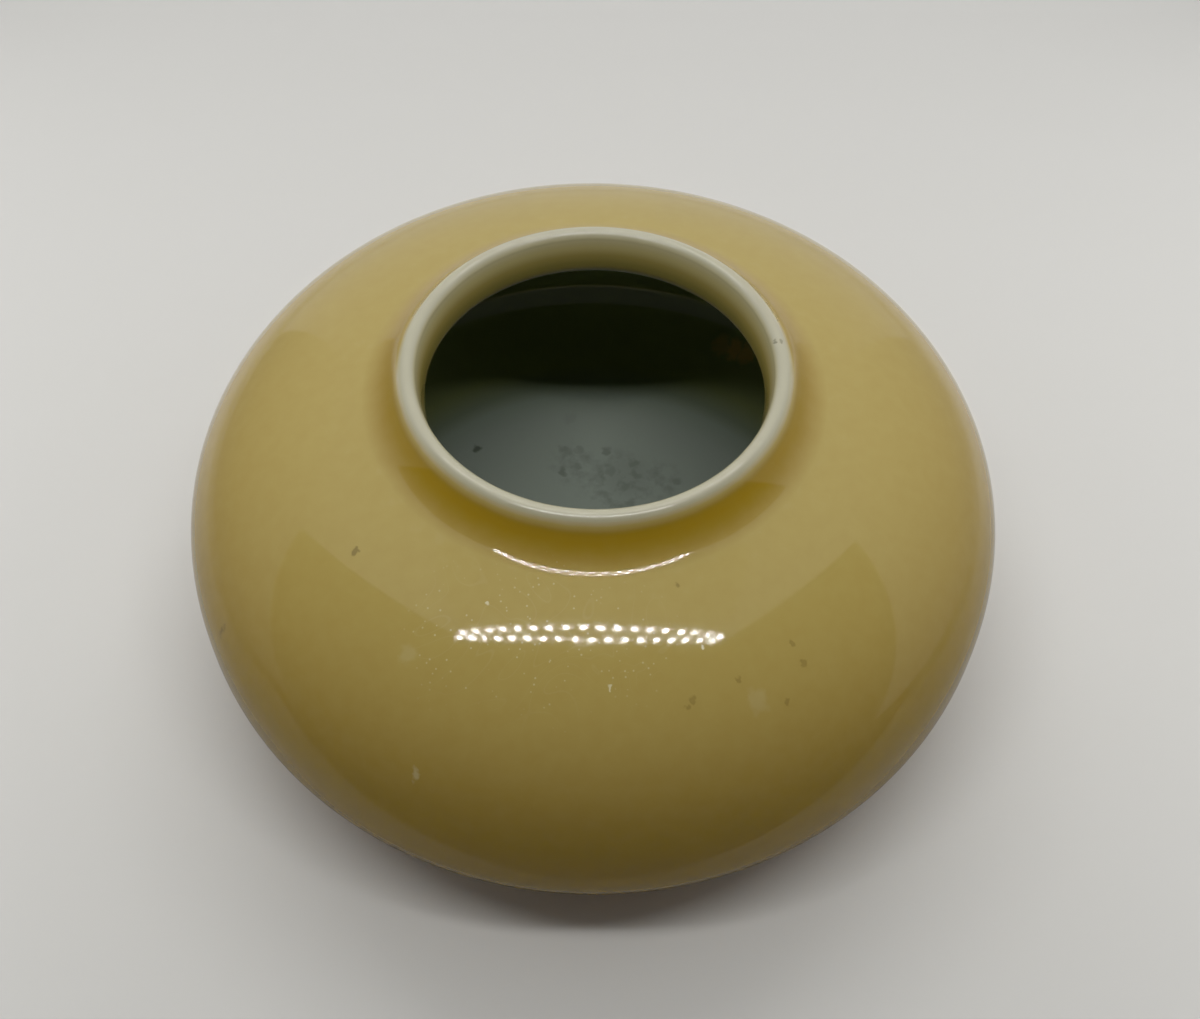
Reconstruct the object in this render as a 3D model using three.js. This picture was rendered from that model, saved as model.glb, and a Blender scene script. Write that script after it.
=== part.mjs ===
// An open, compressed globular water pot for a writing table, in glazed porcelain.
// Sizes are in millimetres. The pot stands on its foot ring at z = 0, and +Z is its axis.
// The clay was thrown as two halves, joined with slip at the belly, and glazed inside and out.

import * as THREE from "three";

// Belly: the widest circle of the glazed pot
const BELLY_RADIUS = 47.5;

// Each half follows |r/radius|^fullness + |z/reach|^fullness = 1, where 2 gives an ellipse
const SHOULDER_REACH = 25.0;
const SHOULDER_FULLNESS = 2.35;
const UNDERSIDE_REACH = 19.6;
const UNDERSIDE_FULLNESS = 2.55;
const CAVITY_FLOOR_FULLNESS = 2.5;

// How far above the table the underside would meet the axis, if the foot ring didn't end it
const UNDERSIDE_CLEARANCE = 0.9;

// Clay and glaze
const WALL_THICKNESS = 2.4;
const GLAZE_THICKNESS = 0.25;
const SEAM_THICKNESS = 0.4;
const FLOOR_THICKNESS = 2.8;

// Rounded lip, and the concave sweep that joins it to the shoulder
const LIP_RING_RADIUS = 20.25;
const LIP_ROUND_RADIUS = 0.95;
const LIP_RISE = 2.0;
const NECK_SWEEP_RADIUS = 8.0;

// Throat: the narrowest circle of the bore, rounded into the cavity
const THROAT_RADIUS = 18.6;
const THROAT_EDGE_RADIUS = 1.4;

// Foot ring, left unglazed where it stands
const FOOT_RADIUS = 26.5;
const FOOT_WIDTH = 3.0;
const FOOT_CHAMFER = 0.4;
const FOOT_FILLET_RADIUS = 1.5;
const FOOT_BARE_HEIGHT = 0.8;
const RECESS_DEPTH = 2.6;
const BASE_GLAZE_MARGIN = 0.6;

// Smoothness of the turned surfaces
const SEGMENTS = 40;
const WALL_STEPS = 7;
const SWEEP_STEPS = 4;
const ROUND_STEPS = 2;

const QUARTER_TURN = Math.PI / 2;
const BISECTION_STEPS = 50;

// Worked out from the sizes above
const innerBellyRadius = BELLY_RADIUS - WALL_THICKNESS - 2 * GLAZE_THICKNESS;
const lowerStart = UNDERSIDE_REACH + UNDERSIDE_CLEARANCE;
const upperStart = lowerStart + SEAM_THICKNESS;
const floorHeight = RECESS_DEPTH + FLOOR_THICKNESS + GLAZE_THICKNESS;

// A quarter of a superellipse: the angle runs from 0 at the belly to a quarter turn on the axis.
// side is +1 above the belly and -1 below it. The normal points out of the bulging curve.
function quarterCurve(radius, reach, fullness, startHeight, side) {
  return (angle) => {
    const across = Math.cos(angle) ** (2 / fullness);
    const up = Math.sin(angle) ** (2 / fullness);
    const normal = new THREE.Vector2(
      across ** (fullness - 1) / radius,
      (side * up ** (fullness - 1)) / reach,
    );
    return {
      at: new THREE.Vector2(radius * across, startHeight + side * reach * up),
      normal: normal.normalize(),
    };
  };
}

const shoulder = quarterCurve(BELLY_RADIUS, SHOULDER_REACH, SHOULDER_FULLNESS, upperStart, 1);
const underside = quarterCurve(BELLY_RADIUS, UNDERSIDE_REACH, UNDERSIDE_FULLNESS, lowerStart, -1);
const cavityRoof = quarterCurve(
  innerBellyRadius,
  SHOULDER_REACH - WALL_THICKNESS - 2 * GLAZE_THICKNESS,
  SHOULDER_FULLNESS,
  upperStart,
  1,
);
const cavityFloor = quarterCurve(
  innerBellyRadius,
  lowerStart - floorHeight,
  CAVITY_FLOOR_FULLNESS,
  lowerStart,
  -1,
);

// The angle between 0 and a quarter turn where a falling value reaches zero
function angleWhereZero(value) {
  let low = 0;
  let high = QUARTER_TURN;
  for (let step = 0; step < BISECTION_STEPS; step += 1) {
    const middle = (low + high) / 2;
    if (value(middle) > 0) low = middle;
    else high = middle;
  }
  return (low + high) / 2;
}

// The centre of a circle of the given radius that touches a curve from outside at an angle
function touchingCentre(curve, angle, radius) {
  const { at, normal } = curve(angle);
  return at.clone().addScaledVector(normal, radius);
}

// The curve's angle at which a touching circle's centre stands over the given distance from the axis
function angleBeside(curve, radius, centreDistance) {
  return angleWhereZero((angle) => touchingCentre(curve, angle, radius).x - centreDistance);
}

// Points of a surface, each with the unit direction from it into the clay
function curvePoints(curve, fromAngle, toAngle, steps, intoClay) {
  const points = [];
  for (let step = 0; step <= steps; step += 1) {
    const { at, normal } = curve(fromAngle + ((toAngle - fromAngle) * step) / steps);
    points.push({ at, into: normal.multiplyScalar(intoClay) });
  }
  return points;
}

// clayInside is +1 where the clay fills the circle and -1 where it surrounds the circle
function arcPoints(centre, radius, fromAngle, toAngle, steps, clayInside) {
  const points = [];
  for (let step = 0; step <= steps; step += 1) {
    const angle = fromAngle + ((toAngle - fromAngle) * step) / steps;
    const outward = new THREE.Vector2(Math.cos(angle), Math.sin(angle));
    points.push({
      at: centre.clone().addScaledVector(outward, radius),
      into: outward.multiplyScalar(-clayInside),
    });
  }
  return points;
}

// Lip: its centre stands above the shoulder's own curve
const shoulderUnderLip = shoulder(
  angleWhereZero((angle) => shoulder(angle).at.x - LIP_RING_RADIUS),
);
const lipCentre = new THREE.Vector2(LIP_RING_RADIUS, shoulderUnderLip.at.y + LIP_RISE);

// Neck sweep: a circle that touches both the shoulder and the rounded lip
const sweepAngle = angleWhereZero((angle) => {
  const centre = touchingCentre(shoulder, angle, NECK_SWEEP_RADIUS);
  return centre.distanceTo(lipCentre) - NECK_SWEEP_RADIUS - LIP_ROUND_RADIUS;
});
const sweepCentre = touchingCentre(shoulder, sweepAngle, NECK_SWEEP_RADIUS);
const lipOuterAngle = sweepCentre.clone().sub(lipCentre).angle();

// Throat edge: a round that touches the cavity's roof, with its inner side at the throat
const throatAngle = angleBeside(
  cavityRoof,
  THROAT_EDGE_RADIUS,
  THROAT_RADIUS + THROAT_EDGE_RADIUS,
);
const throatCentre = touchingCentre(cavityRoof, throatAngle, THROAT_EDGE_RADIUS);

// Bore: the straight line on the axis side that touches the throat edge and the lip
const throatToLip = lipCentre.clone().sub(throatCentre);
const boreAngle =
  throatToLip.angle() + Math.acos((THROAT_EDGE_RADIUS - LIP_ROUND_RADIUS) / throatToLip.length());

// Foot fillet: a round that touches the underside and the upright side of the foot ring
const footAngle = angleBeside(underside, FOOT_FILLET_RADIUS, FOOT_RADIUS + FOOT_FILLET_RADIUS);
const footCentre = touchingCentre(underside, footAngle, FOOT_FILLET_RADIUS);

// The outside below the belly, from where the glaze stops on the foot ring
const undersideSurface = [
  {
    at: new THREE.Vector2(FOOT_RADIUS, FOOT_BARE_HEIGHT),
    into: new THREE.Vector2(-1, 0),
  },
  ...arcPoints(
    footCentre,
    FOOT_FILLET_RADIUS,
    Math.PI,
    underside(footAngle).normal.clone().negate().angle(),
    ROUND_STEPS,
    -1,
  ).slice(0, -1),
  ...curvePoints(underside, footAngle, 0, WALL_STEPS, -1),
];

// The outside above the belly, up to where the coloured glaze meets the white lip
const shoulderSurface = [
  ...curvePoints(shoulder, 0, sweepAngle, WALL_STEPS, -1),
  ...arcPoints(
    sweepCentre,
    NECK_SWEEP_RADIUS,
    shoulder(sweepAngle).normal.clone().negate().angle(),
    lipOuterAngle + Math.PI,
    SWEEP_STEPS,
    -1,
  ).slice(1),
];

// The rounded lip, from its outer side over the top to the bore
const lipSurface = [
  ...arcPoints(lipCentre, LIP_ROUND_RADIUS, lipOuterAngle, QUARTER_TURN, ROUND_STEPS, 1),
  ...arcPoints(lipCentre, LIP_ROUND_RADIUS, QUARTER_TURN, boreAngle, ROUND_STEPS, 1).slice(1),
];

// The inside above the belly: the throat edge, then the cavity's roof
const roofSurface = [
  ...arcPoints(
    throatCentre,
    THROAT_EDGE_RADIUS,
    boreAngle,
    cavityRoof(throatAngle).normal.clone().negate().angle(),
    ROUND_STEPS,
    1,
  ).slice(0, -1),
  ...curvePoints(cavityRoof, throatAngle, 0, WALL_STEPS - 1, 1),
];

// The inside below the belly, down to the middle of the floor
const floorSurface = curvePoints(cavityFloor, 0, QUARTER_TURN, WALL_STEPS, 1);

function atDepth(surface, depth) {
  return surface.map(({ at, into }) => at.clone().addScaledVector(into, depth));
}

function insideOut(surface) {
  return [...surface].reverse();
}

// Turns an outline of (distance from the axis, height) about the pot's axis
function turned(outline) {
  const profile = outline.map((point) => new THREE.Vector2(Math.max(point.x, 0), point.y));
  const geometry = new THREE.LatheGeometry(profile, SEGMENTS);
  geometry.rotateX(QUARTER_TURN);
  return geometry;
}

function closed(outline) {
  return [...outline, outline[0].clone()];
}

function piece(name, geometry, color, roughness) {
  const material = new THREE.MeshStandardMaterial({ color, roughness, metalness: 0 });
  const mesh = new THREE.Mesh(geometry, material);
  mesh.name = name;
  return mesh;
}

// Lower half: the bowl of the belly with its trimmed foot ring
function lowerBody() {
  const footSide = FOOT_RADIUS - GLAZE_THICKNESS;
  const footInside = FOOT_RADIUS - FOOT_WIDTH;
  const outline = [
    new THREE.Vector2(0, RECESS_DEPTH),
    new THREE.Vector2(footInside, RECESS_DEPTH),
    new THREE.Vector2(footInside, FOOT_CHAMFER),
    new THREE.Vector2(footInside + FOOT_CHAMFER, 0),
    new THREE.Vector2(footSide - FOOT_CHAMFER, 0),
    new THREE.Vector2(footSide, FOOT_CHAMFER),
    ...atDepth(undersideSurface, GLAZE_THICKNESS),
    ...atDepth(floorSurface, GLAZE_THICKNESS),
  ];
  return piece("lower_body", turned(outline), 0xd9d0bf, 0.8);
}

// Slip ring: the line of watered clay that bonds the two halves at the belly
function lutingSeam() {
  const outside = BELLY_RADIUS - GLAZE_THICKNESS;
  const inside = innerBellyRadius + GLAZE_THICKNESS;
  const outline = [
    new THREE.Vector2(outside, lowerStart),
    new THREE.Vector2(outside, upperStart),
    new THREE.Vector2(inside, upperStart),
    new THREE.Vector2(inside, lowerStart),
  ];
  return piece("luting_seam", turned(closed(outline)), 0xcfc6b4, 0.85);
}

// Upper half: shoulder, neck and lip
function upperBody() {
  const outline = [
    ...atDepth(shoulderSurface, GLAZE_THICKNESS),
    ...atDepth(lipSurface, GLAZE_THICKNESS).slice(1),
    ...atDepth(roofSurface, GLAZE_THICKNESS),
  ];
  return piece("upper_body", turned(closed(outline)), 0xd9d0bf, 0.8);
}

// Yellow glaze: one coat over the outside, from the foot ring to the lip
function yellowGlaze() {
  const surface = [...undersideSurface, ...shoulderSurface];
  const outline = [
    ...atDepth(surface, 0),
    ...atDepth(insideOut(surface), GLAZE_THICKNESS),
  ];
  return piece("yellow_glaze", turned(closed(outline)), 0xa08c4e, 0.12);
}

// White glaze: one coat over the lip and the whole inside
function whiteGlaze() {
  const surface = [...lipSurface, ...roofSurface, ...floorSurface];
  const outline = [
    ...atDepth(insideOut(surface), GLAZE_THICKNESS),
    ...atDepth(surface, 0),
  ];
  return piece("white_glaze", turned(outline), 0xc9c8bb, 0.12);
}

// Base glaze: the glazed disc inside the foot ring
function baseGlaze() {
  const radius = FOOT_RADIUS - FOOT_WIDTH - BASE_GLAZE_MARGIN;
  const outline = [
    new THREE.Vector2(0, RECESS_DEPTH - GLAZE_THICKNESS),
    new THREE.Vector2(radius, RECESS_DEPTH - GLAZE_THICKNESS),
    new THREE.Vector2(radius, RECESS_DEPTH),
    new THREE.Vector2(0, RECESS_DEPTH),
  ];
  return piece("base_glaze", turned(outline), 0xc9c8bb, 0.15);
}

const waterPot = new THREE.Group();
waterPot.add(
  lowerBody(),
  lutingSeam(),
  upperBody(),
  yellowGlaze(),
  whiteGlaze(),
  baseGlaze(),
);

export default waterPot;
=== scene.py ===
"""An open, compressed globular water pot in yellow-glazed porcelain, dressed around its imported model.

Lengths are in metres unless a name or comment says millimetres. The pot stands at the origin, +Z is
its axis, and the viewer is towards -Y.
"""

import math
from types import SimpleNamespace

import bpy
from mathutils import Euler, Matrix, Vector


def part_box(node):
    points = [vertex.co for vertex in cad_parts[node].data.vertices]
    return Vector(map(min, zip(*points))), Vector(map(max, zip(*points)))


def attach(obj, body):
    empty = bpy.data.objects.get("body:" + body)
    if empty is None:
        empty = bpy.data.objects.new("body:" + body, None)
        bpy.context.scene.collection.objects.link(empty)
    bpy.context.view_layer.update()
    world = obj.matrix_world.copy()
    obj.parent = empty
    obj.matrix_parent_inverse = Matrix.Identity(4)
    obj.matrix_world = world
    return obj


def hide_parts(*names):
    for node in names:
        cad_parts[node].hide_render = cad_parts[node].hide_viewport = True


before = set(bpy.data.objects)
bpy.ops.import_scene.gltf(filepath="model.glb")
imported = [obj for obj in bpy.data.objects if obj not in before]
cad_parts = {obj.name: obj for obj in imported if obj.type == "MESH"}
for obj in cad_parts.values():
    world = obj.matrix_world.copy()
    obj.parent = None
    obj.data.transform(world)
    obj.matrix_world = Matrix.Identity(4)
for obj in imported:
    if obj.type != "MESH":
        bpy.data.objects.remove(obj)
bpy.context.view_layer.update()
MM = 0.001

# The same driving sizes as the solids; the radii and heights that show are read from the frame
SHOULDER_REACH = 25.0 * MM
SHOULDER_FULLNESS = 2.35
UNDERSIDE_REACH = 19.6 * MM
UNDERSIDE_FULLNESS = 2.55
CAVITY_FLOOR_FULLNESS = 2.5
WALL_THICKNESS = 2.4 * MM
GLAZE_THICKNESS = 0.25 * MM
FLOOR_THICKNESS = 2.8 * MM
LIP_RING_RADIUS = 20.25 * MM
LIP_ROUND_RADIUS = 0.95 * MM
LIP_RISE = 2.0 * MM
NECK_SWEEP_RADIUS = 8.0 * MM
THROAT_RADIUS = 18.6 * MM
THROAT_EDGE_RADIUS = 1.4 * MM
FOOT_RADIUS = 26.5 * MM
FOOT_WIDTH = 3.0 * MM
FOOT_CHAMFER = 0.4 * MM
FOOT_FILLET_RADIUS = 1.5 * MM
BASE_GLAZE_MARGIN = 0.6 * MM

# Read from the frame
BELLY_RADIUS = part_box("yellow_glaze")[1].x
FOOT_BARE_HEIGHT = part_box("yellow_glaze")[0].z
UPPER_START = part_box("luting_seam")[1].z
LOWER_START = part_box("luting_seam")[0].z
RECESS_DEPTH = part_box("base_glaze")[1].z

# Worked out
INNER_BELLY_RADIUS = BELLY_RADIUS - WALL_THICKNESS - 2 * GLAZE_THICKNESS
FLOOR_HEIGHT = RECESS_DEPTH + FLOOR_THICKNESS + GLAZE_THICKNESS

# Smoothness of the turned surfaces
TURN_STEPS = 160
WALL_STEPS = 36
SWEEP_STEPS = 14
ROUND_STEPS = 8
SHARP_EDGE_ANGLE = math.radians(35)
MERGE_DISTANCE = 0.001 * MM
SEARCH_STEPS = 50
QUARTER_TURN = math.pi / 2
FULL_TURN = 2 * math.pi


# Outlines: points of a surface as (distance from the axis, height), each with the way into the clay

def quarter_curve(radius, reach, fullness, start_height, side):
    """A quarter superellipse, from the belly at angle 0 to the axis at a quarter turn."""
    def at(angle):
        across = max(math.cos(angle), 0) ** (2 / fullness)
        up = math.sin(angle) ** (2 / fullness)
        normal = Vector((across ** (fullness - 1) / radius, side * up ** (fullness - 1) / reach))
        return Vector((radius * across, start_height + side * reach * up)), normal.normalized()
    return at


def angle_where_zero(value):
    """The angle of a quarter turn where a falling value reaches zero, found by halving."""
    low, high = 0.0, QUARTER_TURN
    for _ in range(SEARCH_STEPS):
        middle = (low + high) / 2
        if value(middle) > 0:
            low = middle
        else:
            high = middle
    return (low + high) / 2


def touching_centre(curve, angle, radius):
    """The centre of a circle that touches a curve from outside."""
    point, normal = curve(angle)
    return point + normal * radius


def heading(vector):
    return math.atan2(vector.y, vector.x) % FULL_TURN


def curve_points(curve, start, end, steps, into_clay):
    points = []
    for step in range(steps + 1):
        point, normal = curve(start + (end - start) * step / steps)
        points.append((point, normal * into_clay))
    return points


def arc_points(centre, radius, start, end, steps, clay_inside):
    points = []
    for step in range(steps + 1):
        angle = start + (end - start) * step / steps
        outward = Vector((math.cos(angle), math.sin(angle)))
        points.append((centre + outward * radius, outward * -clay_inside))
    return points


def at_depth(surface, depth):
    """A surface's points, moved this far into the clay."""
    return [point + into * depth for point, into in surface]


shoulder = quarter_curve(BELLY_RADIUS, SHOULDER_REACH, SHOULDER_FULLNESS, UPPER_START, 1)
underside = quarter_curve(BELLY_RADIUS, UNDERSIDE_REACH, UNDERSIDE_FULLNESS, LOWER_START, -1)
cavity_roof = quarter_curve(
    INNER_BELLY_RADIUS, SHOULDER_REACH - WALL_THICKNESS - 2 * GLAZE_THICKNESS,
    SHOULDER_FULLNESS, UPPER_START, 1)
cavity_floor = quarter_curve(
    INNER_BELLY_RADIUS, LOWER_START - FLOOR_HEIGHT, CAVITY_FLOOR_FULLNESS, LOWER_START, -1)

# Lip: a round whose centre stands above the shoulder's own curve
under_lip = shoulder(angle_where_zero(lambda angle: shoulder(angle)[0].x - LIP_RING_RADIUS))[0]
lip_centre = Vector((LIP_RING_RADIUS, under_lip.y + LIP_RISE))

# Neck sweep: a circle that touches both the shoulder and the lip
sweep_angle = angle_where_zero(
    lambda angle: (touching_centre(shoulder, angle, NECK_SWEEP_RADIUS) - lip_centre).length
    - NECK_SWEEP_RADIUS - LIP_ROUND_RADIUS)
sweep_centre = touching_centre(shoulder, sweep_angle, NECK_SWEEP_RADIUS)
lip_outer_angle = heading(sweep_centre - lip_centre)

# Throat edge and bore
throat_angle = angle_where_zero(
    lambda angle: touching_centre(cavity_roof, angle, THROAT_EDGE_RADIUS).x
    - THROAT_RADIUS - THROAT_EDGE_RADIUS)
throat_centre = touching_centre(cavity_roof, throat_angle, THROAT_EDGE_RADIUS)
throat_to_lip = lip_centre - throat_centre
bore_angle = heading(throat_to_lip) + math.acos(
    (THROAT_EDGE_RADIUS - LIP_ROUND_RADIUS) / throat_to_lip.length)

# Foot fillet: a round that touches the underside and the upright side of the foot ring
foot_angle = angle_where_zero(
    lambda angle: touching_centre(underside, angle, FOOT_FILLET_RADIUS).x
    - FOOT_RADIUS - FOOT_FILLET_RADIUS)
foot_centre = touching_centre(underside, foot_angle, FOOT_FILLET_RADIUS)

underside_surface = (
    [(Vector((FOOT_RADIUS, FOOT_BARE_HEIGHT)), Vector((-1, 0)))]
    + arc_points(foot_centre, FOOT_FILLET_RADIUS, math.pi,
                 heading(-underside(foot_angle)[1]), ROUND_STEPS, -1)[:-1]
    + curve_points(underside, foot_angle, 0, WALL_STEPS, -1))
shoulder_surface = (
    curve_points(shoulder, 0, sweep_angle, WALL_STEPS, -1)
    + arc_points(sweep_centre, NECK_SWEEP_RADIUS, heading(-shoulder(sweep_angle)[1]),
                 lip_outer_angle + math.pi, SWEEP_STEPS, -1)[1:])
lip_surface = (
    arc_points(lip_centre, LIP_ROUND_RADIUS, lip_outer_angle, QUARTER_TURN, ROUND_STEPS, 1)
    + arc_points(lip_centre, LIP_ROUND_RADIUS, QUARTER_TURN, bore_angle, ROUND_STEPS, 1)[1:])
roof_surface = (
    arc_points(throat_centre, THROAT_EDGE_RADIUS, bore_angle,
               heading(-cavity_roof(throat_angle)[1]), ROUND_STEPS, 1)[:-1]
    + curve_points(cavity_roof, throat_angle, 0, WALL_STEPS, 1))
floor_surface = curve_points(cavity_floor, 0, QUARTER_TURN, WALL_STEPS, 1)


# Turned pieces

def deselect_everything():
    if bpy.context.mode != "OBJECT":
        bpy.ops.object.mode_set(mode="OBJECT")
    bpy.ops.object.select_all(action="DESELECT")


def drawn_line(name, points):
    """Draws a line through points by extruding one vertex, and stays in edit mode."""
    deselect_everything()
    bpy.ops.mesh.primitive_plane_add(size=MM, location=points[0])
    line = bpy.context.object
    line.name = name
    line.data.name = name
    bpy.ops.object.transform_apply(location=True, rotation=True, scale=True)
    bpy.ops.object.mode_set(mode="EDIT")
    bpy.ops.mesh.select_mode(type="VERT")
    bpy.ops.mesh.select_all(action="SELECT")
    bpy.ops.mesh.merge(type="CENTER")
    for here, there in zip(points, points[1:]):
        bpy.ops.mesh.extrude_region_move(TRANSFORM_OT_translate={"value": there - here})
    bpy.ops.mesh.select_all(action="SELECT")
    bpy.ops.mesh.remove_doubles(threshold=MERGE_DISTANCE)
    return line


def turned(name, outline, closes, material, node):
    """Turns an outline about the pot's axis. It closes on itself, or starts and ends on the axis."""
    path = outline + outline[:1] if closes else outline
    piece = drawn_line(name, [Vector((point.x, 0, point.y)) for point in path])
    bpy.ops.mesh.select_all(action="SELECT")
    bpy.ops.mesh.spin(steps=TURN_STEPS, angle=FULL_TURN, center=(0, 0, 0), axis=(0, 0, 1))
    bpy.ops.mesh.select_all(action="SELECT")
    bpy.ops.mesh.remove_doubles(threshold=MERGE_DISTANCE)
    bpy.ops.mesh.normals_make_consistent(inside=False)
    bpy.ops.object.mode_set(mode="OBJECT")
    bpy.ops.object.shade_smooth_by_angle(angle=SHARP_EDGE_ANGLE)
    piece.data.materials.clear()
    piece.data.materials.append(material)
    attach(piece, "root")
    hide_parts(node)


# Materials

def linear(hex_colour):
    """An sRGB hex colour as the linear values that a shader takes."""
    channels = [int(hex_colour[place:place + 2], 16) / 255 for place in (1, 3, 5)]
    return [c / 12.92 if c <= 0.04045 else ((c + 0.055) / 1.055) ** 2.4 for c in channels] + [1.0]


def add_node(tree, kind, settings=None, values=None, links=None):
    """Adds a node with its settings, its sockets' values, and links into its sockets."""
    node = tree.nodes.new(kind)
    for name, value in (settings or {}).items():
        setattr(node, name, value)
    for socket, value in (values or {}).items():
        node.inputs[socket].default_value = value
    for socket, source in (links or {}).items():
        tree.links.new(source, node.inputs[socket])
    return node


# Sockets of a Mix node for colours, by number because its names repeat
MIX_SHARE = 0
MIX_FIRST = 6
MIX_SECOND = 7
MIX_RESULT = 2


def ramp_stops(node, stops):
    ramp = node.color_ramp
    while len(ramp.elements) > 1:
        ramp.elements.remove(ramp.elements[-1])
    ramp.elements[0].position = stops[0][0]
    ramp.elements[0].color = linear(stops[0][1])
    for position, colour in stops[1:]:
        ramp.elements.new(position).color = linear(colour)
    return node


def new_material(name):
    material = bpy.data.materials.new(name)
    material.use_nodes = True
    material.node_tree.nodes.clear()
    return material, material.node_tree


def place_on_pot(tree):
    """A point's place, the same seen from above, its distance back, its height and its radius."""
    place = add_node(tree, "ShaderNodeTexCoord").outputs["Object"]
    axes = add_node(tree, "ShaderNodeSeparateXYZ", links={0: place})
    from_above = add_node(
        tree, "ShaderNodeCombineXYZ", links={0: axes.outputs["X"], 1: axes.outputs["Y"]})
    radius = add_node(
        tree, "ShaderNodeVectorMath", {"operation": "LENGTH"}, links={0: from_above.outputs[0]})
    return SimpleNamespace(
        place=place, from_above=from_above.outputs[0], back=axes.outputs["Y"],
        height=axes.outputs["Z"], radius=radius.outputs["Value"])


# A mark is full to its core and fades out to its rim, in shares of its radius
MARK_CORE = 0.5
MARK_RIM = 1.4
MARK_WOBBLE = 1.4 * MM
MARK_WOBBLE_SIZE = 1.0 * MM


def marks_cover(tree, pot, marks):
    """How far small ragged marks cover a point. Each is (across, back, radius, strength)."""
    ragged = add_node(
        tree, "ShaderNodeTexNoise", values={"Scale": 1 / MARK_WOBBLE_SIZE, "Detail": 2.0},
        links={"Vector": pot.place})
    centred = add_node(
        tree, "ShaderNodeVectorMath", {"operation": "SUBTRACT"}, {1: (0.5, 0.5, 0.5)},
        {0: ragged.outputs["Color"]})
    moved = add_node(
        tree, "ShaderNodeVectorMath", {"operation": "MULTIPLY_ADD"},
        {1: (MARK_WOBBLE, MARK_WOBBLE, 0)}, {0: centred.outputs[0], 2: pot.from_above})
    cover = None
    for across, back, radius, strength in marks:
        away = add_node(
            tree, "ShaderNodeVectorMath", {"operation": "DISTANCE"},
            {1: (across * MM, back * MM, 0)}, {0: moved.outputs[0]})
        mark = add_node(
            tree, "ShaderNodeMapRange", {"interpolation_type": "SMOOTHSTEP"},
            {"From Min": MARK_RIM * radius * MM, "From Max": MARK_CORE * radius * MM,
             "To Max": strength},
            {"Value": away.outputs["Value"]})
        if cover is None:
            cover = mark
        else:
            cover = add_node(
                tree, "ShaderNodeMath", {"operation": "MAXIMUM"},
                links={0: cover.outputs[0], 1: mark.outputs[0]})
    return cover.outputs[0]


# Most of a noise lies between these values
NOISE_LOW = 0.3
NOISE_HIGH = 0.7

GLAZE_IOR = 1.52

# How thin the yellow glaze lies, from 0 where it pools to 1 where it has run off the clay
SHOULDER_THINNESS = 0.55
POOL_AND_SHADE_BACK_THINNESS = 0.2
MOTTLE_THINNESS = 0.025
GLAZE_COLOURS = [
    (0.0, "#947712"), (0.11, "#947a23"), (0.22, "#987f34"), (0.33, "#9e8743"),
    (0.44, "#a48f4c"), (0.55, "#a99653"), (0.8, "#b6a880"), (1.0, "#b8b296")]
FOOT_POOL_COLOUR = "#a87b0c"

# Where it thins: up the belly, away from the neck's root, round to its back, and over the lip. The
# neck's root is darkest at the front, partly a real pool and partly painted shade
DRAINED_FROM = UPPER_START - 2.7 * MM
DRAINED_TO = UPPER_START + 24.3 * MM
POOL_RADIUS = 22.4 * MM
POOL_EDGE_RADIUS = 25.5 * MM
POOL_AND_SHADE_DEEP_BACK = -18.0 * MM
POOL_AND_SHADE_SHALLOW_BACK = 6.0 * MM
BARE_LIP_RADIUS = 20.8 * MM
COVERED_LIP_RADIUS = 22.0 * MM
FOOT_POOL_TOP = 11.5 * MM
FOOT_POOL_DEEP = 8.5 * MM

# The distance from one patch, ripple, painted glint or scratch swirl of the yellow glaze to the next
MOTTLE_SIZE = 1.667 * MM
RIPPLE_SIZE = 2.222 * MM
GLINT_SPACING = 0.8333 * MM
SCRATCH_SWIRL = 14.286 * MM
RIPPLE_DEPTH = 0.003 * MM

# Marks as (across, back, radius, strength), in mm. Dark ones are hairs and pinholes in the glaze; pale
# ones are painted glints beside the highlight
DARK_GLAZE_MARKS = [
    (8.4, -25.7, 0.3, 0.4), (9.4, -37.0, 0.35, 0.3), (10.0, -36.3, 0.35, 0.3),
    (19.4, -35.4, 0.3, 0.3), (21.2, -31.6, 0.3, 0.3), (20.0, -30.1, 0.3, 0.3),
    (14.6, -34.1, 0.25, 0.3), (-40.0, -22.9, 0.4, 0.4), (-24.4, -20.8, 0.3, 0.5)]
# Painted glints on the shoulder, by the highlight
PAINTED_GLINT_MARKS = [
    (16.4, -35.6, 1.0, 0.07), (-18.4, -31.6, 0.8, 0.07), (-17.5, -41.1, 0.4, 0.2),
    (2.9, -31.2, 0.2, 0.5), (10.9, -31.5, 0.2, 0.6), (1.8, -35.6, 0.2, 0.5),
    (-10.6, -27.6, 0.2, 0.5)]

# Where the painted glints and the scratches gather, round the highlight on the front of the shoulder
GLINT_AND_SCRATCH_PATCH = [
    (-12.5, -30.0, 6.0, 1.0), (-5.0, -31.0, 7.0, 1.0), (3.5, -31.5, 5.0, 0.8)]
# Colour of the painted glints, the scratches and the pale marks
GLINT_AND_SCRATCH_COLOUR = "#e6e2c4"
PINHOLE_COLOUR = "#4c3a10"


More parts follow.
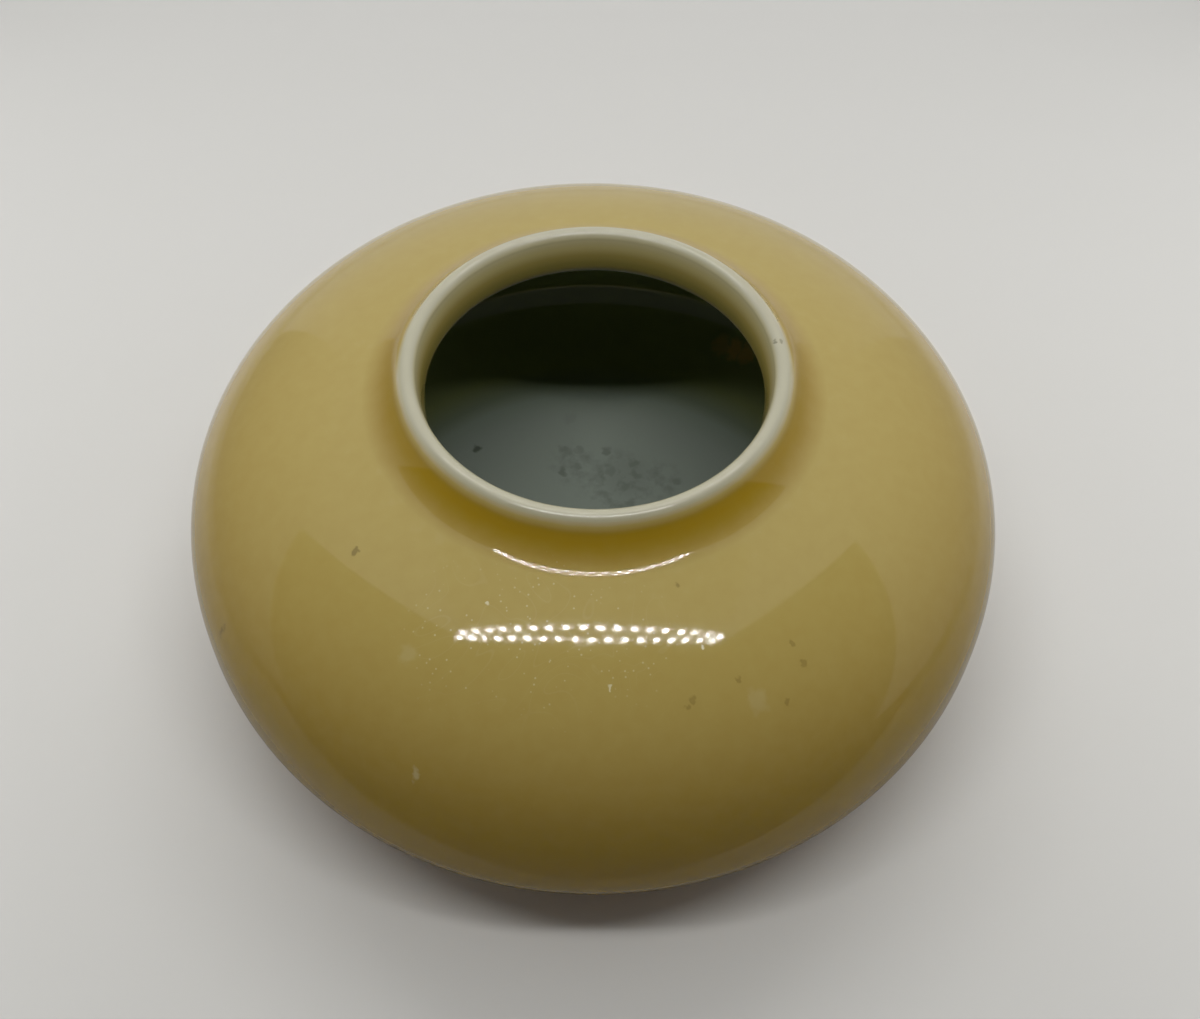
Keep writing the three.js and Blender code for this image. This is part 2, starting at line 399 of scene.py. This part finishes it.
def yellow_glaze_colour(tree, pot, mottle):
    """The coat's colour by how thin it lies, with the amber pool at the foot."""
    drained = add_node(
        tree, "ShaderNodeMapRange", {"interpolation_type": "SMOOTHSTEP"},
        {"From Min": DRAINED_FROM, "From Max": DRAINED_TO, "To Max": SHOULDER_THINNESS},
        {"Value": pot.height})
    # Deeper at the front of the neck's root and paler round to its back: partly a real pool, partly
    # painted shade
    pool_and_shade_to_back = add_node(
        tree, "ShaderNodeMapRange",
        values={"From Min": POOL_AND_SHADE_DEEP_BACK, "From Max": POOL_AND_SHADE_SHALLOW_BACK,
                "To Max": POOL_AND_SHADE_BACK_THINNESS},
        links={"Value": pot.back})
    pool = add_node(
        tree, "ShaderNodeMapRange",
        values={"From Min": POOL_RADIUS, "From Max": POOL_EDGE_RADIUS,
                "To Max": SHOULDER_THINNESS},
        links={"Value": pot.radius, "To Min": pool_and_shade_to_back.outputs["Result"]})
    body = add_node(
        tree, "ShaderNodeMath", {"operation": "MINIMUM"},
        links={0: drained.outputs["Result"], 1: pool.outputs["Result"]})
    lip = add_node(
        tree, "ShaderNodeMapRange", {"interpolation_type": "SMOOTHSTEP"},
        {"From Min": COVERED_LIP_RADIUS, "From Max": BARE_LIP_RADIUS}, {"Value": pot.radius})
    even = add_node(
        tree, "ShaderNodeMath", {"operation": "ADD"},
        links={0: body.outputs[0], 1: lip.outputs["Result"]})
    patches = add_node(
        tree, "ShaderNodeMapRange",
        values={"From Min": NOISE_LOW, "From Max": NOISE_HIGH,
                "To Min": -MOTTLE_THINNESS, "To Max": MOTTLE_THINNESS},
        links={"Value": mottle.outputs["Fac"]})
    thinness = add_node(
        tree, "ShaderNodeMath", {"operation": "ADD"},
        links={0: even.outputs[0], 1: patches.outputs["Result"]})
    colour = ramp_stops(
        add_node(tree, "ShaderNodeValToRGB", links={"Fac": thinness.outputs[0]}), GLAZE_COLOURS)
    at_foot = add_node(
        tree, "ShaderNodeMapRange",
        values={"From Min": FOOT_POOL_TOP, "From Max": FOOT_POOL_DEEP},
        links={"Value": pot.height})
    pooled = add_node(
        tree, "ShaderNodeMix", {"data_type": "RGBA"}, {MIX_SECOND: linear(FOOT_POOL_COLOUR)},
        {MIX_SHARE: at_foot.outputs["Result"], MIX_FIRST: colour.outputs["Color"]})
    return pooled.outputs[MIX_RESULT]


def painted_glints_and_scratches(tree, pot):
    """How far the coat is covered by painted glints round the highlight, faint scratches that are
    partly painted glints, and pale marks that are painted glints, drawn coarser than real so they show.
    """
    # Pale specks that stand in for the lamps' glints off scratches: painted glints
    glint_cells = add_node(
        tree, "ShaderNodeTexVoronoi", values={"Scale": 1 / GLINT_SPACING},
        links={"Vector": pot.place})
    specks = add_node(
        tree, "ShaderNodeMapRange", values={"From Min": 0.16, "From Max": 0.08, "To Max": 0.3},
        links={"Value": glint_cells.outputs["Distance"]})
    swirl = add_node(
        tree, "ShaderNodeTexNoise",
        values={"Scale": 1 / SCRATCH_SWIRL, "Detail": 1.0, "Distortion": 2.0},
        links={"Vector": pot.place})
    turns = add_node(
        tree, "ShaderNodeMath", {"operation": "PINGPONG"}, {1: 0.05}, {0: swirl.outputs["Fac"]})
    # Faint pale scratch lines: real scratches, partly painted glints
    scratches = add_node(
        tree, "ShaderNodeMapRange",
        values={"From Min": 0.005, "From Max": 0.001, "To Max": 0.04},
        links={"Value": turns.outputs[0]})
    fine = add_node(
        tree, "ShaderNodeMath", {"operation": "MAXIMUM"},
        links={0: specks.outputs["Result"], 1: scratches.outputs["Result"]})
    # Kept to the patch round the highlight, where the painted glints stand
    glints_and_scratches_in_patch = add_node(
        tree, "ShaderNodeMath", {"operation": "MULTIPLY"},
        links={0: fine.outputs[0], 1: marks_cover(tree, pot, GLINT_AND_SCRATCH_PATCH)})
    pale = add_node(
        tree, "ShaderNodeMath", {"operation": "MAXIMUM"},
        links={0: glints_and_scratches_in_patch.outputs[0], 1: marks_cover(tree, pot, PAINTED_GLINT_MARKS)})
    return pale.outputs[0]


def yellow_glazed_porcelain():
    """Fired transparent yellow glaze over white clay.

    Its gloss is glass-like and faintly rippled. Its colour is deeper where the glaze pools, at the
    neck, low on the belly and at the foot, and pales to the clay's white where it has run off the lip.
    The pool at the neck's root is deepest at the front, partly a real pool and partly painted shade.
    Pinholes and faint scratches mark it, and pale specks and marks round the highlight at the front of
    the shoulder are painted glints.
    """
    material, tree = new_material("yellow_glazed_porcelain")
    pot = place_on_pot(tree)
    mottle = add_node(
        tree, "ShaderNodeTexNoise", values={"Scale": 1 / MOTTLE_SIZE, "Detail": 3.0},
        links={"Vector": pot.place})
    pale = painted_glints_and_scratches(tree, pot)
    # The coat's colour with the painted glints and pale scratches mixed in
    with_glints_and_scratches = add_node(
        tree, "ShaderNodeMix", {"data_type": "RGBA"}, {MIX_SECOND: linear(GLINT_AND_SCRATCH_COLOUR)},
        {MIX_SHARE: pale, MIX_FIRST: yellow_glaze_colour(tree, pot, mottle)})
    marked = add_node(
        tree, "ShaderNodeMix", {"data_type": "RGBA"}, {MIX_SECOND: linear(PINHOLE_COLOUR)},
        {MIX_SHARE: marks_cover(tree, pot, DARK_GLAZE_MARKS),
         MIX_FIRST: with_glints_and_scratches.outputs[MIX_RESULT]})
    gloss = add_node(
        tree, "ShaderNodeMapRange",
        values={"From Min": NOISE_LOW, "From Max": NOISE_HIGH, "To Min": 0.05, "To Max": 0.075},
        links={"Value": mottle.outputs["Fac"]})
    roughness = add_node(
        tree, "ShaderNodeMath", {"operation": "MULTIPLY_ADD"}, {1: 0.2},
        {0: pale, 2: gloss.outputs["Result"]})
    ripple = add_node(
        tree, "ShaderNodeTexNoise", values={"Scale": 1 / RIPPLE_SIZE, "Detail": 4.0},
        links={"Vector": pot.place})
    surface = add_node(
        tree, "ShaderNodeBump", values={"Distance": RIPPLE_DEPTH},
        links={"Height": ripple.outputs["Fac"]})
    shader = add_node(
        tree, "ShaderNodeBsdfPrincipled", values={"IOR": GLAZE_IOR},
        links={"Base Color": marked.outputs[MIX_RESULT], "Roughness": roughness.outputs[0],
               "Normal": surface.outputs["Normal"]})
    add_node(tree, "ShaderNodeOutputMaterial", links={"Surface": shader.outputs[0]})
    return material


# The cavity's walls: the white lining painted dark green, a painted shade for the cavity's hollow
WALL_PAINTED_SHADE = "#8e9565"

# Up the bore to the top of the lip, and from the middle of the cavity's bottom out to its walls
BORE_FOOT = UPPER_START + 20.3 * MM
LIP_TOP = UPPER_START + 26.3 * MM
# The bore's foot starts from the walls' painted shade
BORE_COLOURS = [
    (0.0, WALL_PAINTED_SHADE), (0.2, "#756b38"), (0.4, "#85793f"), (0.56, "#9d8e4e"),
    (0.73, "#bbad76"), (0.86, "#c4ba8d"), (0.94, "#bcb48f"), (1.0, "#afab93")]
BOTTOM_RADIUS = 26.0 * MM
WALLS_RADIUS = 36.0 * MM
# The bottom's cool white darkens outwards into the walls' painted shade
BOTTOM_TO_SHADE_COLOURS = [(0.0, "#99a297"), (0.3, "#95a091"), (0.48, "#87917b"), (0.75, WALL_PAINTED_SHADE)]
BOTTOM_ENDS = UPPER_START - 6.7 * MM
BORE_BEGINS = UPPER_START + 3.3 * MM

# The lip's gloss is dulled by wear, and brightest where it is thickest
LIP_BEGINS = UPPER_START + 24.2 * MM
WORN_LIP_BEGINS = UPPER_START + 25.2 * MM
LINING_ROUGHNESS = 0.06
WORN_LIP_ROUGHNESS = 0.2
LINING_GLEAM = 0.5
LIP_GLEAM = 1.0

# Marks as (across, back, radius, strength), in mm: nicks on the lip, dirt in the cavity, and a painted
# glint on its back wall
LIP_NICKS = [(19.6, 3.3, 0.25, 0.6), (20.4, 3.1, 0.25, 0.5)]
DIRT_MARKS = [
    (-15.9, 19.6, 0.6, 0.6), (-4.1, 20.3, 0.7, 0.25), (-2.1, 20.3, 0.6, 0.2), (1.7, 20.1, 0.6, 0.3),
    (-2.2, 17.8, 0.6, 0.25), (-4.3, 16.8, 0.6, 0.35), (5.3, 18.2, 0.8, 0.3), (2.2, 17.0, 0.9, 0.25),
    (7.6, 16.8, 0.7, 0.15), (0.6, 15.8, 0.8, 0.15), (11.0, 15.3, 0.7, 0.25), (4.3, 16.1, 3.4, 0.12),
    (-3.4, 25.2, 0.9, 0.08)]
SMUDGED_PATCH = [(3.4, 15.0, 5.0, 1.0), (-2.5, 18.0, 3.2, 0.8), (8.5, 15.5, 3.0, 0.8)]
# A warm painted glint, a painted reflection on the cavity's back wall
WARM_GLINT_MARKS = [(17.6, 35.0, 1.3, 0.35), (19.3, 34.2, 1.3, 0.6), (20.9, 33.3, 1.2, 0.6)]
SILT_SIZE = 1.538 * MM
NICK_COLOUR = "#5c5a3c"
WARM_GLINT_COLOUR = "#e0b070"
DIRT_COLOUR = "#2c3020"


def cavity_bottom_colour(tree, pot):
    """A cool white that darkens outwards into the walls' painted shade, with a warm painted glint and
    smudged specks of dirt.
    """
    across_the_bottom = add_node(
        tree, "ShaderNodeMapRange", values={"From Min": BOTTOM_RADIUS, "From Max": WALLS_RADIUS},
        links={"Value": pot.radius})
    bottom = ramp_stops(
        add_node(tree, "ShaderNodeValToRGB", links={"Fac": across_the_bottom.outputs["Result"]}),
        BOTTOM_TO_SHADE_COLOURS)
    # Mixes in the warm painted glint
    with_warm_glint = add_node(
        tree, "ShaderNodeMix", {"data_type": "RGBA"}, {MIX_SECOND: linear(WARM_GLINT_COLOUR)},
        {MIX_SHARE: marks_cover(tree, pot, WARM_GLINT_MARKS), MIX_FIRST: bottom.outputs["Color"]})
    silt = add_node(
        tree, "ShaderNodeTexNoise", values={"Scale": 1 / SILT_SIZE, "Detail": 4.0},
        links={"Vector": pot.place})
    smudges = add_node(
        tree, "ShaderNodeMapRange", values={"From Min": 0.42, "From Max": 0.66, "To Max": 0.3},
        links={"Value": silt.outputs["Fac"]})
    smudged = add_node(
        tree, "ShaderNodeMath", {"operation": "MULTIPLY"},
        links={0: smudges.outputs["Result"], 1: marks_cover(tree, pot, SMUDGED_PATCH)})
    dirt = add_node(
        tree, "ShaderNodeMath", {"operation": "MAXIMUM"},
        links={0: smudged.outputs[0], 1: marks_cover(tree, pot, DIRT_MARKS)})
    dirty = add_node(
        tree, "ShaderNodeMix", {"data_type": "RGBA"}, {MIX_SECOND: linear(DIRT_COLOUR)},
        {MIX_SHARE: dirt.outputs[0], MIX_FIRST: with_warm_glint.outputs[MIX_RESULT]})
    return dirty.outputs[MIX_RESULT]


def white_glazed_porcelain():
    """Clear glaze over white clay.

    The lip is warm white, with its gloss dulled by wear, and the bottom of the cavity a cooler white
    with specks of dirt, darkening outwards into painted shade. The bore takes a yellow stain from the
    coat outside, its foot blends into painted shade, and the cavity's walls are painted dark green as
    shade.
    """
    material, tree = new_material("white_glazed_porcelain")
    pot = place_on_pot(tree)
    up_the_bore = add_node(
        tree, "ShaderNodeMapRange", values={"From Min": BORE_FOOT, "From Max": LIP_TOP},
        links={"Value": pot.height})
    bore = ramp_stops(
        add_node(tree, "ShaderNodeValToRGB", links={"Fac": up_the_bore.outputs["Result"]}),
        BORE_COLOURS)
    nicked = add_node(
        tree, "ShaderNodeMix", {"data_type": "RGBA"}, {MIX_SECOND: linear(NICK_COLOUR)},
        {MIX_SHARE: marks_cover(tree, pot, LIP_NICKS), MIX_FIRST: bore.outputs["Color"]})
    up_the_cavity = add_node(
        tree, "ShaderNodeMapRange", values={"From Min": BOTTOM_ENDS, "From Max": BORE_BEGINS},
        links={"Value": pot.height})
    lining_colour = add_node(
        tree, "ShaderNodeMix", {"data_type": "RGBA"},
        links={MIX_SHARE: up_the_cavity.outputs["Result"],
               MIX_FIRST: cavity_bottom_colour(tree, pot), MIX_SECOND: nicked.outputs[MIX_RESULT]})
    on_lip = add_node(
        tree, "ShaderNodeMapRange", {"interpolation_type": "SMOOTHSTEP"},
        {"From Min": LIP_BEGINS, "From Max": WORN_LIP_BEGINS}, {"Value": pot.height})
    roughness = add_node(
        tree, "ShaderNodeMapRange",
        values={"To Min": LINING_ROUGHNESS, "To Max": WORN_LIP_ROUGHNESS},
        links={"Value": on_lip.outputs["Result"]})
    gleam = add_node(
        tree, "ShaderNodeMapRange", values={"To Min": LINING_GLEAM, "To Max": LIP_GLEAM},
        links={"Value": on_lip.outputs["Result"]})
    shader = add_node(
        tree, "ShaderNodeBsdfPrincipled", values={"IOR": GLAZE_IOR},
        links={"Base Color": lining_colour.outputs[MIX_RESULT],
               "Roughness": roughness.outputs["Result"],
               "Specular IOR Level": gleam.outputs["Result"]})
    add_node(tree, "ShaderNodeOutputMaterial", links={"Surface": shader.outputs[0]})
    return material


# The grain of the bare clay is drawn coarser than a real one, so that it shows
GRIT_SIZE = 0.667 * MM


def biscuit_porcelain():
    """Bare fired porcelain clay: matt, warm white and slightly gritty on the foot ring."""
    material, tree = new_material("biscuit_porcelain")
    place = add_node(tree, "ShaderNodeTexCoord").outputs["Object"]
    grit = add_node(
        tree, "ShaderNodeTexNoise", values={"Scale": 1 / GRIT_SIZE, "Detail": 2.0},
        links={"Vector": place})
    colour = ramp_stops(
        add_node(tree, "ShaderNodeValToRGB", links={"Fac": grit.outputs["Fac"]}),
        [(0.35, "#cbbfa6"), (0.65, "#d9d0bf")])
    shader = add_node(
        tree, "ShaderNodeBsdfPrincipled", values={"Roughness": 0.85},
        links={"Base Color": colour.outputs["Color"]})
    add_node(tree, "ShaderNodeOutputMaterial", links={"Surface": shader.outputs[0]})
    return material


yellow = yellow_glazed_porcelain()
white = white_glazed_porcelain()
biscuit = biscuit_porcelain()

# Pieces
coat = underside_surface + shoulder_surface
lining = lip_surface + roof_surface + floor_surface
foot_side = FOOT_RADIUS - GLAZE_THICKNESS
foot_inside = FOOT_RADIUS - FOOT_WIDTH
seam_outside = BELLY_RADIUS - GLAZE_THICKNESS
seam_inside = INNER_BELLY_RADIUS + GLAZE_THICKNESS
base_radius = foot_inside - BASE_GLAZE_MARGIN
base_bottom = RECESS_DEPTH - GLAZE_THICKNESS

turned(
    "yellow_glaze_coat",
    at_depth(coat, 0) + at_depth(coat[::-1], GLAZE_THICKNESS),
    True, yellow, "yellow_glaze")
turned(
    "white_glaze_lining",
    at_depth(lining, 0) + at_depth(lining[::-1], GLAZE_THICKNESS),
    False, white, "white_glaze")
turned(
    "lower_clay_half",
    [Vector((0, RECESS_DEPTH)), Vector((foot_inside, RECESS_DEPTH)),
     Vector((foot_inside, FOOT_CHAMFER)), Vector((foot_inside + FOOT_CHAMFER, 0)),
     Vector((foot_side - FOOT_CHAMFER, 0)), Vector((foot_side, FOOT_CHAMFER))]
    + at_depth(underside_surface, GLAZE_THICKNESS)
    + at_depth(floor_surface, GLAZE_THICKNESS),
    False, biscuit, "lower_body")
turned(
    "upper_clay_half",
    at_depth(shoulder_surface, GLAZE_THICKNESS)
    + at_depth(lip_surface, GLAZE_THICKNESS)[1:]
    + at_depth(roof_surface, GLAZE_THICKNESS),
    True, biscuit, "upper_body")
turned(
    "slip_ring",
    [Vector((seam_outside, LOWER_START)), Vector((seam_outside, UPPER_START)),
     Vector((seam_inside, UPPER_START)), Vector((seam_inside, LOWER_START))],
    True, biscuit, "luting_seam")
turned(
    "base_glaze_disc",
    [Vector((0, base_bottom)), Vector((base_radius, base_bottom)),
     Vector((base_radius, RECESS_DEPTH)), Vector((0, RECESS_DEPTH))],
    False, white, "base_glaze")


# Stage: a pale floor, cards that the glaze mirrors, lamps overhead and soft lamps round the pot

FLOOR_SIZE = 1.1
FLOOR_COLOUR = "#d4d3cf"
MIRRORED_NEAR_FLOOR = "#999894"
FAR_FLOOR_START = 45.0 * MM
NEAR_FLOOR_START = -25.0 * MM


def floor_material():
    """Matt off-white paper. The glaze mirrors its near part dimmer, which keeps the belly's colour."""
    material, tree = new_material("pale_paper")
    place = add_node(tree, "ShaderNodeTexCoord").outputs["Object"]
    axes = add_node(tree, "ShaderNodeSeparateXYZ", links={0: place})
    near = add_node(
        tree, "ShaderNodeMapRange",
        values={"From Min": FAR_FLOOR_START, "From Max": NEAR_FLOOR_START},
        links={"Value": axes.outputs["Y"]})
    rays = add_node(tree, "ShaderNodeLightPath")
    mirrored_near = add_node(
        tree, "ShaderNodeMath", {"operation": "MULTIPLY"},
        links={0: near.outputs["Result"], 1: rays.outputs["Is Glossy Ray"]})
    colour = add_node(
        tree, "ShaderNodeMix", {"data_type": "RGBA"},
        {MIX_FIRST: linear(FLOOR_COLOUR), MIX_SECOND: linear(MIRRORED_NEAR_FLOOR)},
        {MIX_SHARE: mirrored_near.outputs[0]})
    shader = add_node(
        tree, "ShaderNodeBsdfPrincipled",
        values={"Roughness": 0.7, "Specular IOR Level": 0.2},
        links={"Base Color": colour.outputs[MIX_RESULT]})
    add_node(tree, "ShaderNodeOutputMaterial", links={"Surface": shader.outputs[0]})
    return material


def glowing_paper(foot_glow, glow):
    """White paper that glows by the light it catches, less so near the floor."""
    material, tree = new_material("glowing_paper")
    place = add_node(tree, "ShaderNodeTexCoord").outputs["Object"]
    axes = add_node(tree, "ShaderNodeSeparateXYZ", links={0: place})
    strength = add_node(
        tree, "ShaderNodeMapRange",
        values={"From Min": CARD_DIM_HEIGHT, "From Max": CARD_BRIGHT_HEIGHT,
                "To Min": foot_glow, "To Max": glow},
        links={"Value": axes.outputs["Z"]})
    emission = add_node(
        tree, "ShaderNodeEmission", values={"Color": linear("#ffffff")},
        links={"Strength": strength.outputs["Result"]})
    add_node(tree, "ShaderNodeOutputMaterial", links={"Surface": emission.outputs[0]})
    return material


def mirrored_card(name, corners, foot_glow, glow):
    """A white card that the glaze mirrors. It lights nothing and hides nothing."""
    card = drawn_line(name, [Vector(corner) for corner in corners])
    bpy.ops.mesh.select_all(action="SELECT")
    bpy.ops.mesh.edge_face_add()
    bpy.ops.object.mode_set(mode="OBJECT")
    card.data.materials.append(glowing_paper(foot_glow, glow))
    card.visible_camera = False
    card.visible_diffuse = False
    card.visible_shadow = False


def lamp_face(name, centre, target, size, glow):
    """A rectangular lamp. Its glow is how bright its face looks, where 1 is white."""
    deselect_everything()
    bpy.ops.object.light_add(type="AREA", location=centre)
    lamp = bpy.context.object
    lamp.name = name
    lamp.data.shape = "RECTANGLE"
    lamp.data.size = size[0]
    lamp.data.size_y = size[1]
    lamp.data.energy = glow * math.pi * size[0] * size[1]
    lamp.rotation_euler = (Vector(target) - Vector(centre)).to_track_quat("-Z", "Y").to_euler()
    lamp.visible_camera = False
    return lamp


def soft_lamp(name, centre, target, size, glow):
    """A broad lamp for soft light, which the glaze doesn't mirror."""
    lamp = lamp_face(name, centre, target, size, glow)
    lamp.visible_glossy = False


deselect_everything()
bpy.ops.mesh.primitive_plane_add(size=FLOOR_SIZE)
floor = bpy.context.object
floor.name = "floor"
floor.data.materials.append(floor_material())

# Overhead before the pot: two staggered rows of small lamps, whose dots the glaze mirrors. Their
# ends bend towards the viewer, and the rows draw together there
LAMP_HEIGHT = 394.0 * MM
LAMP_SIZE = 3.7 * MM
LAMP_GLOW = 249.0
LAMP_SPACING = 18.9 * MM
LAMPS_IN_ROW = 18
ROW_LENGTH = LAMPS_IN_ROW * LAMP_SPACING
ROWS_MIDDLE = -5.3 * MM
ROWS_BACK = -90.5 * MM
ROWS_BEND = 19.0 * MM
ROW_SPACING = 22.0 * MM
ROW_TAPER = 13.1 * MM
for number in range(LAMPS_IN_ROW):
    for side in (-1, 1):
        across = (number + 0.5 + side / 4) * LAMP_SPACING - ROW_LENGTH / 2
        towards_end = (across / (ROW_LENGTH / 2)) ** 2
        from_middle = side * (ROW_SPACING - ROW_TAPER * towards_end) / 2
        x = ROWS_MIDDLE + across
        y = ROWS_BACK - ROWS_BEND * towards_end + from_middle
        lamp_face(
            f"front_lamp_{number}_{side}", (x, y, LAMP_HEIGHT), (x, y, 0),
            (LAMP_SIZE, LAMP_SIZE), LAMP_GLOW)

# The soft part of those rows' light, and a strip behind the pot that the glaze mirrors in part
STRIP_SIZE = (ROW_LENGTH, 17.0 * MM)
for add_lamp, name, back, glow in (
        (lamp_face, "rear_strip", 143.6, 11.0), (soft_lamp, "rear_row_soft", 143.6, 9.8),
        (soft_lamp, "front_row_soft", -98.0, 10.7)):
    add_lamp(name, (0, back * MM, LAMP_HEIGHT), (0, back * MM, 0), STRIP_SIZE, glow)

# White cards round the pot that open towards the viewer
CARD_SIDE = 180.0 * MM
CARD_BACK = 210.0 * MM
CARD_TOP = 420.0 * MM
CARD_FRONT_TOP = -118.0 * MM
CARD_FOOT = 1.0 * MM
CARD_DIM_HEIGHT = 45.0 * MM
CARD_BRIGHT_HEIGHT = 210.0 * MM
SIDE_CARD_GLOW = 0.65
BACK_CARD_GLOW = 0.6
TOP_CARD_GLOW = 0.5
# Each side's corner of the opening, as (distance back, height), its foot, and its glow there
for name, side, (corner_y, corner_z), foot_y, foot_glow in (
        ("left_card", -1, (27.0, 146.0), -78.0, 0.25),
        ("right_card", 1, (25.0, 188.0), -99.0, 0.35)):
    x = side * CARD_SIDE
    mirrored_card(
        name,
        [(x, CARD_FRONT_TOP, CARD_TOP), (x, corner_y * MM, corner_z * MM),
         (x, foot_y * MM, CARD_FOOT), (x, CARD_BACK, CARD_FOOT), (x, CARD_BACK, CARD_TOP)],
        foot_glow, SIDE_CARD_GLOW)
mirrored_card(
    "back_card",
    [(-CARD_SIDE, CARD_BACK, CARD_FOOT), (CARD_SIDE, CARD_BACK, CARD_FOOT),
     (CARD_SIDE, CARD_BACK, CARD_TOP), (-CARD_SIDE, CARD_BACK, CARD_TOP)],
    BACK_CARD_GLOW, BACK_CARD_GLOW)
mirrored_card(
    "top_card",
    [(-CARD_SIDE, CARD_FRONT_TOP, CARD_TOP), (CARD_SIDE, CARD_FRONT_TOP, CARD_TOP),
     (CARD_SIDE, CARD_BACK, CARD_TOP), (-CARD_SIDE, CARD_BACK, CARD_TOP)],
    TOP_CARD_GLOW, TOP_CARD_GLOW)

# A dark card on the floor before the pot, so that the lower belly mirrors no bright floor
DARK_CARD_NEAR = -55.5 * MM
DARK_CARD_FAR = -1.0
DARK_CARD_SIDE = 0.8
DARK_CARD_GLOW = 0.13
mirrored_card(
    "dark_card",
    [(-DARK_CARD_SIDE, DARK_CARD_FAR, CARD_FOOT), (DARK_CARD_SIDE, DARK_CARD_FAR, CARD_FOOT),
     (DARK_CARD_SIDE, DARK_CARD_NEAR, CARD_FOOT), (-DARK_CARD_SIDE, DARK_CARD_NEAR, CARD_FOOT)],
    DARK_CARD_GLOW, DARK_CARD_GLOW)

# Soft light from the same sides as the cards, as each lamp's centre, target, size and glow
for name, centre, target, size, glow in (
        ("left_soft", (-0.13, 0.02, 0.11), (0, 0.02, 0.11), (0.2, 0.2), 0.75),
        ("right_soft", (0.13, 0.02, 0.11), (0, 0.02, 0.11), (0.2, 0.2), 0.755),
        ("back_soft", (0, 0.48, 0.3), (0, 0, 0.05), (0.9, 0.54), 1.09),
        ("top_soft", (0, 0.03, 0.4), (0, 0.03, 0), (0.36, 0.3), 0.49)):
    soft_lamp(name, centre, target, size, glow)

UNLIT_ROOM_GLOW = 0.01
MIRRORED_ROOM_GLOW = 0.08


def dim_room():
    """The camera sees white past the floor, and the glaze mirrors a dim room past the cards."""
    world = bpy.data.worlds.new("dim_room")
    bpy.context.scene.world = world
    world.use_nodes = True
    tree = world.node_tree
    tree.nodes.clear()
    around, mirrored, seen = (
        add_node(
            tree, "ShaderNodeBackground",
            values={"Color": linear("#ffffff"), "Strength": strength})
        for strength in (UNLIT_ROOM_GLOW, MIRRORED_ROOM_GLOW, 1.0))
    rays = add_node(tree, "ShaderNodeLightPath")
    lit = add_node(
        tree, "ShaderNodeMixShader",
        links={0: rays.outputs["Is Glossy Ray"], 1: around.outputs[0], 2: mirrored.outputs[0]})
    mixed = add_node(
        tree, "ShaderNodeMixShader",
        links={0: rays.outputs["Is Camera Ray"], 1: lit.outputs[0], 2: seen.outputs[0]})
    add_node(tree, "ShaderNodeOutputWorld", links={"Surface": mixed.outputs[0]})


dim_room()

# Camera: at the photograph's angle, aimed by turning it
BELLY_CENTRE = Vector((0, 0, (LOWER_START + UPPER_START) / 2))
VIEW_ELEVATION = math.radians(53.54)
VIEW_DISTANCE = 190.2 * MM
VIEW_LENS_MM = 47.18
VIEW_SENSOR_MM = 36.0
VIEW_TURN_RIGHT = math.radians(0.230)
VIEW_TURN_DOWN = math.radians(0.037)
VIEW_ROLL = math.radians(0.571)

bpy.ops.object.camera_add(location=BELLY_CENTRE + VIEW_DISTANCE * Vector(
    (0, -math.cos(VIEW_ELEVATION), math.sin(VIEW_ELEVATION))))
camera = bpy.context.object
camera.name = "view_camera"
camera.data.lens = VIEW_LENS_MM
camera.data.sensor_width = VIEW_SENSOR_MM
camera.rotation_euler = (
    Euler((QUARTER_TURN - VIEW_ELEVATION, 0, 0)).to_matrix()
    @ Matrix.Rotation(VIEW_ROLL, 3, "Z")
    @ Matrix.Rotation(-VIEW_TURN_RIGHT, 3, "Y")
    @ Matrix.Rotation(-VIEW_TURN_DOWN, 3, "X")).to_euler()
bpy.context.scene.camera = camera
bpy.context.scene.view_settings.view_transform = "Standard"
